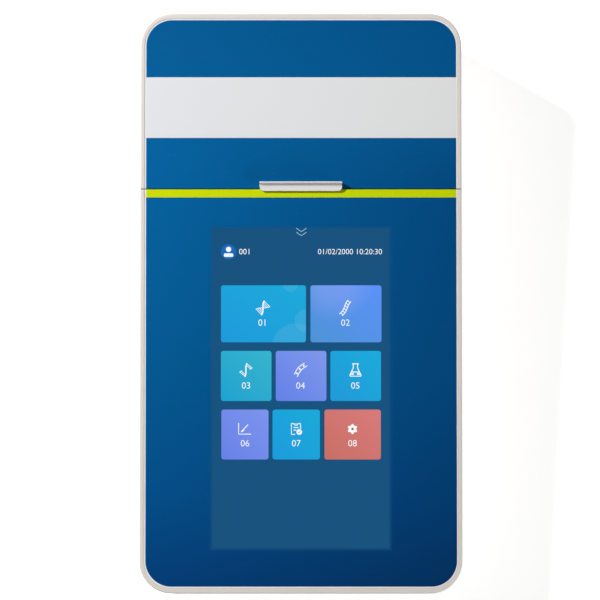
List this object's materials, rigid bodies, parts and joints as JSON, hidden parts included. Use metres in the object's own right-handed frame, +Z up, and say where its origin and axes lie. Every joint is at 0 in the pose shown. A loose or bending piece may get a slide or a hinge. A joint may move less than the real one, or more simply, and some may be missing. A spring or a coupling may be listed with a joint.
{
  "type": "benchtop fluorometer",
  "caption": "Benchtop fluorometer: wedge-shaped case with a touch screen, and a hinged lid with a lip over a light-tight tube well.",
  "frame": {"origin": "on the table under the middle of the whole part's box", "axes": "+X to the right as the user faces the screen, +Y to the back, where the lid's hinge is, +Z up"},
  "size_m": [0.12, 0.2202, 0.053],
  "materials": {
    "case_plastic": "fine moulded texture, warm light grey",
    "rubber": "matt black",
    "steel": "zinc plated",
    "blue_print": "printed polycarbonate sheet, satin",
    "accent_print": "printed polycarbonate sheet, satin",
    "band_print": "printed polycarbonate sheet, satin silver white",
    "screen_glass": "clear cover over a lit blue picture",
    "display_black": "dark glass",
    "copper_flex": "polyimide film",
    "circuit_board": "green solder resist",
    "black_plastic": "fine matt texture",
    "white_plastic": "moulded",
    "rocker_plastic": "semi-gloss black",
    "nickel": "nickel plated",
    "black_aluminium": "black anodised",
    "blue_lens": "tinted",
    "red_lens": "tinted",
    "green_filter": "coated filter glass",
    "clear_glass": "polished",
    "handle_plastic": "satin moulded, light grey"
  },
  "bodies": {
    "case": {"lower_case": "case_plastic", "upper_case": "case_plastic", "rubber_feet": "rubber", "case_screws": "steel", "front_overlay": "blue_print", "accent_strip": "accent_print", "screen_glass": "screen_glass", "display_panel": "display_black", "display_frame": "steel", "display_flex": "copper_flex", "main_board": "circuit_board", "board_components": "black_plastic", "board_screws": "steel", "buzzer": "black_plastic", "bay_plate": "black_plastic", "light_seal": "rubber", "tube_well": "black_plastic", "tube_seat": "black_plastic", "base_magnets": "nickel", "lid_sensor": "black_plastic", "optics_block": "black_aluminium", "optics_screws": "steel", "blue_led": "blue_lens", "red_led": "red_lens", "led_boards": "circuit_board", "blue_filter": "blue_lens", "red_filter": "red_lens", "emission_filter": "green_filter", "collector_lens": "clear_glass", "photodiode": "display_black", "detector_board": "circuit_board", "io_board": "circuit_board", "io_screws": "steel", "dc_jack": "black_plastic", "dc_jack_pin": "nickel", "usb_port": "nickel", "usb_tongue": "white_plastic", "switch_body": "black_plastic", "hinge_pins": "steel"},
    "lid": {"lid_shell": "case_plastic", "lid_liner": "black_plastic", "lid_overlay": "blue_print", "lid_band": "band_print", "lid_handle": "handle_plastic", "liner_screws": "steel", "lid_magnets": "nickel"},
    "rocker": {"power_rocker": "rocker_plastic"}
  },
  "joints": [
    {"name": "lid_hinge", "type": "hinge", "parent": "case", "child": "lid", "pos_m": [0, 0.10271, 0.0407], "axis": [-1, 0, 0], "range_deg": [0, 96]},
    {"name": "power_rocker", "type": "hinge", "parent": "case", "child": "rocker", "pos_m": [0.036, 0.10621, 0.01937], "axis": [0, 0.0698, -0.9976], "range_deg": [0, 16]}
  ]
}
